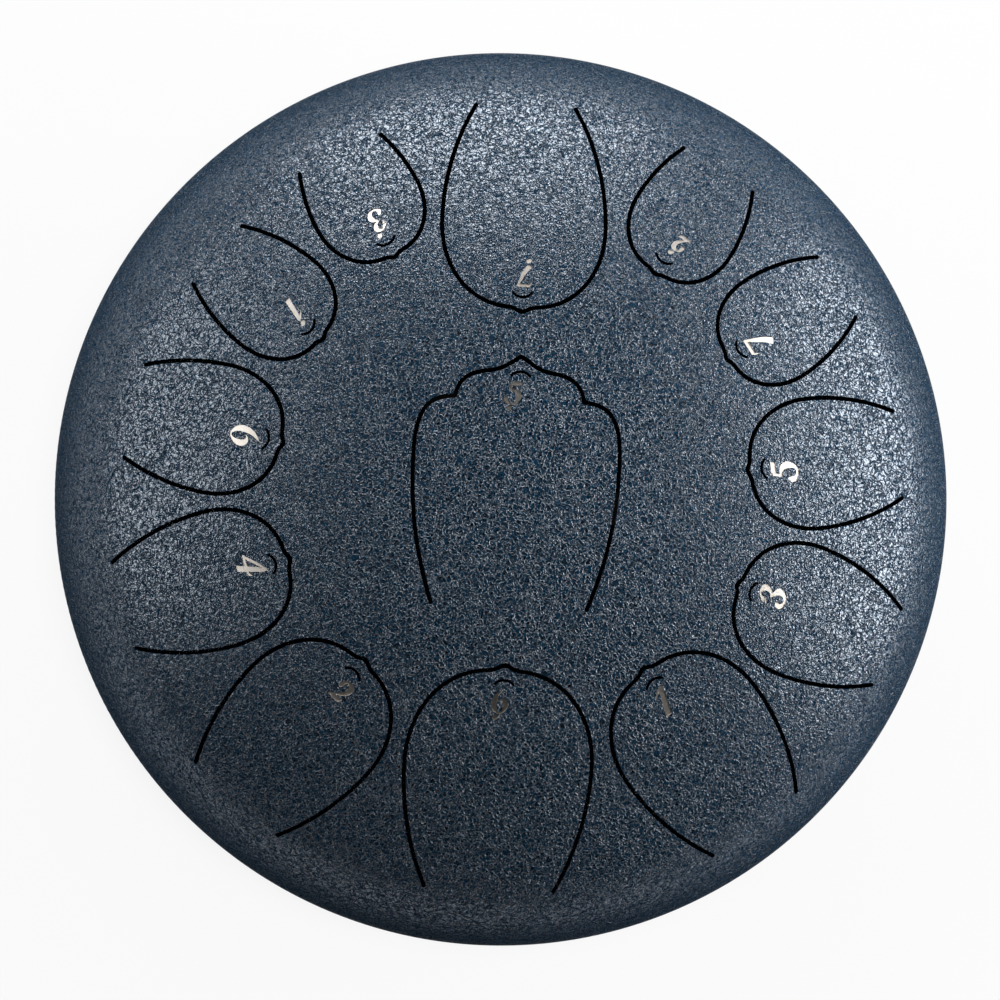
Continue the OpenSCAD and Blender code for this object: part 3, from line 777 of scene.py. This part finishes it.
foot_spots = [laid(np.zeros((1, 2)), turn, FOOT_RING_R)[0] for turn in FOOT_TURNS]
cuts = [hole((0, 0), PORT_R, 120)] + [petal_hole(360 / PETALS * i) for i in range(PETALS)]
cuts += [hole(spot, SCREW_HOLE_R, 32) for spot in foot_spots]
filling = disc_lattice(FLAT_R, BOTTOM_STEP, FLAT_R - RIM_CLEARANCE)
for path, _ in cuts:
    filling = clear_of(filling, path, HOLE_CLEARANCE)
bowl = Sheet(flat_bottom, WALL, down=True)
cuts = [(*cut, []) for cut in cuts]
outer_rim, inner_rim = bowl.fill(rim * FLAT_R, cuts, filling, EDGE_ROUND)
middle, low_middle = (DRUM_R - BOWL_SHOULDER_R, WAIST_Z - SKIRT), (FLAT_R, FOOT_H + BOWL_R)
bowl.rim(inner_rim, outer_rim, [
    arc(low_middle, BOWL_R - WALL, 180, 180 - BOWL_LEAN, 36, -1),
    arc(middle, BOWL_SHOULDER_R - WALL, 180 - BOWL_LEAN, 90, 7, -1),
    line((DRUM_R - WALL, WAIST_Z - SKIRT), (DRUM_R - WALL, WAIST_Z)),
    line((DRUM_R - WALL, WAIST_Z), (DRUM_R - WELD_LEG, WAIST_Z)),
    line((DRUM_R - WELD_LEG, WAIST_Z), (DRUM_R, WAIST_Z - WELD_LEG)),
    line((DRUM_R, WAIST_Z - WELD_LEG), (DRUM_R, WAIST_Z - SKIRT)),
    arc(middle, BOWL_SHOULDER_R, 90, 180 - BOWL_LEAN, 7),
    arc(low_middle, BOWL_R, 180 - BOWL_LEAN, 180, 36)])
bowl_piece = put_mesh("bowl_shell", np.concatenate(bowl.points), bowl.parts, [blue_paint])
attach(bowl_piece, "drum_body")
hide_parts("lower_shell")

# The weld at the waist: one bead run right round the drum, ground nearly flush and painted
# over, so that only the crown of its ripples shows.
WELD_CROWN, WELD_SINK, WELD_SPREAD, RIPPLE, RIPPLES = 0.3, 0.05, 1.05, 0.07, 320


def turned(reach, turn, height):
    """Rings of points about the axis from their distances, directions and heights."""
    return np.stack(np.broadcast_arrays(reach * np.cos(turn), reach * np.sin(turn), height), -1)


def ring_quads(rows, count, closed):
    """Quads from each ring of count points to the next, and from the last ring to the first
    where the section is closed."""
    this = np.arange(count)
    after = np.roll(this, -1)
    steps = [(k * count, (k + 1) % rows * count) for k in range(rows if closed else rows - 1)]
    return np.concatenate([np.column_stack([this + a, after + a, after + b, this + b])
                           for a, b in steps])


angle = np.linspace(0, 2 * np.pi, RIPPLES * 6, endpoint=False)
across = np.radians(np.linspace(-90, 90, 9))[:, None]
# the bead's face is half an ellipse, and a wave that leans forward in its middle makes ripples
wave = 1 - np.abs(np.sin((angle * RIPPLES + np.cos(across) * 2) / 2))
face = (WELD_CROWN + WELD_SINK - RIPPLE) * np.cos(across) + RIPPLE * wave * np.cos(across) ** 2
reach = np.vstack([0 * angle + DRUM_R - WELD_LEG, DRUM_R - WELD_SINK + face])
height = np.vstack([[WAIST_Z], WAIST_Z + WELD_LEG * WELD_SPREAD * np.sin(across)])
weld = add_mesh("weld_bead", turned(reach, angle, height).reshape(-1, 3),
                ring_quads(*reach.shape, True).tolist(), [blue_paint])
weld.data.shade_smooth()
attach(weld, "drum_body")
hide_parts("waist_weld")

# The feet: three tapered rubber cushions, moulded with a rounded sole, a bore for the screw
# and a deep recess that keeps its head clear of the table.
FOOT_TOP_R, FOOT_SOLE_R, FOOT_ROUND, FOOT_EDGE = 13.0, 11.5, 2.0, 0.5
RECESS_R, RECESS_H = 6.0, 6.0


def moulded_rubber():
    """Black rubber from a spark-eroded mould: a fine grain in relief and a patchy bloom."""
    material, tree, shader = principled("black_rubber")
    place = node(tree, "TexCoord").outputs["Object"]
    grain = node(tree, "TexNoise", {"Vector": place, "Scale": 2600.0, "Detail": 2.0}).outputs["Fac"]
    bloom = node(tree, "TexNoise", {"Vector": place, "Scale": 120.0, "Detail": 4.0}).outputs["Fac"]
    shades = node(tree, "ValToRGB", {"Fac": bloom})
    plain, bloomed = (0.35, (0.012, 0.012, 0.013, 1)), (0.75, (0.03, 0.03, 0.031, 1))
    for stop, look in zip(shades.color_ramp.elements, (plain, bloomed)):
        stop.position, stop.color = look
    tree.links.new(shades.outputs["Color"], shader.inputs["Base Color"])
    tree.links.new(ramp(tree, bloom, 0.3, 0.7, 0.62, 0.8, False), shader.inputs["Roughness"])
    relief = node(tree, "Bump", {"Height": grain, "Strength": 0.6, "Distance": 0.06 * MM})
    tree.links.new(relief.outputs[0], shader.inputs["Normal"])
    return material


black_rubber = moulded_rubber()
lean = np.arctan((FOOT_TOP_R - FOOT_SOLE_R) / (FOOT_H - FOOT_ROUND))
top_middle = FOOT_TOP_R - FOOT_EDGE * (1 + np.sin(lean)) / np.cos(lean)
side_way = 90 + np.degrees(lean)
top_edge = arc((top_middle, FOOT_H - FOOT_EDGE), FOOT_EDGE, 0, side_way, 6)
sole_edge = arc((FOOT_SOLE_R - FOOT_ROUND, FOOT_ROUND), FOOT_ROUND, side_way, 180, 9)
foot_points, *foot_faces = lathe([
    top_edge,
    line(top_edge[-1, :2], sole_edge[0, :2]),
    sole_edge,
    line((FOOT_SOLE_R - FOOT_ROUND, 0), (RECESS_R + FOOT_EDGE, 0)),
    arc((RECESS_R + FOOT_EDGE, FOOT_EDGE), FOOT_EDGE, 180, 270, 6),
    line((RECESS_R, FOOT_EDGE), (RECESS_R, RECESS_H)),
    line((RECESS_R, RECESS_H), (SCREW_HOLE_R, RECESS_H)),
    line((SCREW_HOLE_R, RECESS_H), (SCREW_HOLE_R, FOOT_H)),
    line((SCREW_HOLE_R, FOOT_H), (top_middle, FOOT_H))], 72)
for number, spot in enumerate(foot_spots, 1):
    foot = put_mesh(f"rubber_cushion_{number}", foot_points + [*spot, 0],
                    [(*foot_faces, 0)], [black_rubber])
    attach(foot, "drum_body")
    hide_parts(f"rubber_foot_{number}")

# The screws that hold the feet: zinc-plated, with a round head and a cross recess, and a
# rolled thread that ends just past the nut inside the drum.
HEAD_R, HEAD_H, HEAD_FLAT_R = 4.75, 3.7, 3.9
SHANK_R, THREAD_DEPTH, THREAD_PITCH, SHANK_END = 2.4, 0.3, 0.8, 20.5
CROSS_REACH, CROSS_W, CROSS_DEPTH = 2.0, 0.85, 1.5
HEAD_REACH, HEAD_STEP, HEAD_CLEARANCE = 4.0, 0.8, 0.4
ball_r = (HEAD_R ** 2 + HEAD_H ** 2) / 2 / HEAD_H


def head_face(plan, depth=0.0):
    """The head's face, a ball's cap pointing down, or its flat seat on the rubber."""
    if depth:
        return np.full(len(plan), RECESS_H), np.tile([0.0, 0.0, -1.0], (len(plan), 1))
    flat = np.hypot(*plan.T) / ball_r
    steep = np.sqrt(1 - flat ** 2)
    height = RECESS_H - HEAD_H + ball_r - ball_r * steep
    return height, np.column_stack([plan / ball_r, -steep])


filling = disc_lattice(HEAD_REACH, HEAD_STEP, HEAD_FLAT_R - HEAD_CLEARANCE)
arm = np.array([[-1, -1], [1, -1], [1, 1], [-1, 1]]) * [CROSS_REACH, CROSS_W / 2]
head = Sheet(head_face, HEAD_H, down=True)
face_rim, seat_rim = head.fill(around(48) * HEAD_FLAT_R, [], filling, 0.0,
                               [arm, arm @ [[0, 1], [-1, 0]]], CROSS_DEPTH)
head.parts = [(faces, ways, 0) for faces, ways, _ in head.parts]
ball_middle = (0, RECESS_H - HEAD_H + ball_r)
head.rim(seat_rim, face_rim, [
    line((HEAD_FLAT_R, RECESS_H), (HEAD_R, RECESS_H)),
    arc(ball_middle, ball_r, 180 - np.degrees(np.arcsin(HEAD_R / ball_r)),
        180 - np.degrees(np.arcsin(HEAD_FLAT_R / ball_r)), 7)])
# the thread: over turn and height the radius falls and rises once in each pitch
turn = np.linspace(0, 2 * np.pi, 24, endpoint=False)
rise = np.arange(RECESS_H, SHANK_END, THREAD_PITCH / 8)[:, None]
phase = (rise / THREAD_PITCH - turn / (2 * np.pi)) % 1
shank = turned(SHANK_R - THREAD_DEPTH * np.abs(2 * phase - 1), turn, rise)
rows, count = shank.shape[:2]
here = head.add(np.vstack([shank.reshape(-1, 3), [[0, 0, shank[-1, 0, 2]]]]))
sideways = np.column_stack([around(count), np.zeros(count)])
after = np.roll(sideways, -1, 0)
lights = np.tile(np.stack([sideways, after, after, sideways], 1), (rows - 1, 1, 1))
head.parts.append((here[ring_quads(rows, count, False)], lights, 0))
last = np.arange((rows - 1) * count, rows * count)
fan = np.column_stack([last, np.roll(last, -1), np.full(count, rows * count)])
head.parts.append((here[fan], np.tile([0.0, 0.0, 1.0], (count, 3, 1)), 0))
screw_points = np.concatenate(head.points)
screws = put_mesh(
    "cross_head_screws", np.vstack([screw_points + [*spot, 0] for spot in foot_spots]),
    [(faces + i * len(screw_points), ways, 0) for i in range(len(foot_spots))
     for faces, ways, _ in head.parts], [bare_steel])
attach(screws, "drum_body")
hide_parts("foot_screws")

# The nuts: pressed hexagons with their corners turned down, one on each screw inside the
# drum, over a plain stamped washer.
NUT_HALF, NUT_H, NUT_BORE_R, WASHER_H, NUT_CHAMFER, NUT_FLAT_SHARE = 4.0, 4.0, 2.5, 1.0, 0.55, 0.97
turn = np.radians(np.arange(0, 360, 5))
hexagon = NUT_HALF / np.cos((turn + np.pi / 6) % (np.pi / 3) - np.pi / 6)
flat = NUT_HALF * NUT_FLAT_SHARE
fall = (hexagon - flat) * NUT_CHAMFER
base = FOOT_H + WALL + WASHER_H
nut = np.stack([turned(reach, turn, base + height) for reach, height in (
    (NUT_BORE_R, 0), (flat, 0), (hexagon, fall), (hexagon, NUT_H - fall), (flat, NUT_H),
    (NUT_BORE_R, NUT_H))])
quads = ring_quads(*nut.shape[:2], True)
nut = nut.reshape(-1, 3)
quads = np.vstack([quads + i * len(nut) for i in range(len(foot_spots))])
nuts = add_mesh("hexagon_nuts", np.vstack([nut + [*spot, 0] for spot in foot_spots]),
                quads.tolist(), [bare_steel])
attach(nuts, "drum_body")
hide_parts("foot_nuts")
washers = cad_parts["foot_washers"]
washers.data.materials.clear()
washers.data.materials.append(bare_steel)

# The floor and the light: a pale floor that looks white round the drum but keeps its shadow,
# with a nearly black patch under the drum that is painted shadow, and large soft boxes at the
# right, at the back and at the left.
FLOOR_REACH, FLOOR_SHADE, FLOOR_ROUGHNESS, GLOW, WORLD_LIGHT = 15000.0, 0.8, 0.85, 0.92, 0.015
material, tree, shader = principled("pale_floor")
corners = np.array([(-1, -1, 0), (1, -1, 0), (1, 1, 0), (-1, 1, 0)]) * FLOOR_REACH
floor = add_mesh("floor", corners, [(0, 1, 2, 3)], [material])
shader.inputs["Roughness"].default_value = FLOOR_ROUGHNESS
glow = node(tree, "Emission", {"Color": (1, 1, 1, 1), "Strength": 1.0})
rays = node(tree, "LightPath").outputs
far = node(tree, "VectorMath", {0: node(tree, "TexCoord").outputs["Object"]}, operation="LENGTH")
far = far.outputs["Value"]
# painted shadow: within 0.07 m of the axis, under the drum, the floor's colour falls to nearly
# black
tree.links.new(ramp(tree, far, 0.07, 0.1, 0.01, FLOOR_SHADE), shader.inputs["Base Color"])
# seen directly the floor whitens close to the drum, and mirrored in its paint farther out
seen = maths(tree, "MAXIMUM", rays["Is Camera Ray"], rays["Is Transmission Ray"])
seen = maths(tree, "MULTIPLY", seen, ramp(tree, far, 0.1, 0.17, 0.0, GLOW))
mirrored = maths(tree, "MULTIPLY", rays["Is Glossy Ray"],
                 ramp(tree, far, 0.15, 1.0, 0.0, GLOW))
whitened = node(tree, "MixShader", {"Fac": maths(tree, "MAXIMUM", seen, mirrored)})
tree.links.new(shader.outputs[0], whitened.inputs[1])
tree.links.new(glow.outputs[0], whitened.inputs[2])
tree.links.new(whitened.outputs[0], tree.nodes["Material Output"].inputs[0])


def soft_box(name, spot, size, brightness):
    """A rectangular lamp at a spot in metres, facing the drum. Its power makes its face as
    bright as asked for: brightness times area times pi."""
    lamp = bpy.data.objects.new(name, bpy.data.lights.new(name, "AREA"))
    lamp.data.shape, lamp.data.size, lamp.data.size_y = "RECTANGLE", *size
    lamp.data.energy = brightness * size[0] * size[1] * np.pi
    lamp.location = spot
    lamp.rotation_euler = (Vector((0, 0, 0.1)) - Vector(spot)).to_track_quat("-Z", "Y").to_euler()
    scene.collection.objects.link(lamp)


soft_box("box_right", (1.19, 0.2, 0.46), (1.45, 0.9), 6.1)
soft_box("box_back", (-0.12, 1.2, 0.57), (1.25, 0.85), 5.2)
soft_box("box_left", (-1.15, 0.18, 0.76), (1.3, 0.8), 2.6)

world = bpy.data.worlds.new("studio")
scene.world = world
world.use_nodes = True
background = world.node_tree.nodes["Background"]
background.inputs["Color"].default_value = (1, 1, 1, 1)
background.inputs["Strength"].default_value = WORLD_LIGHT
scene.view_settings.view_transform = "Standard"
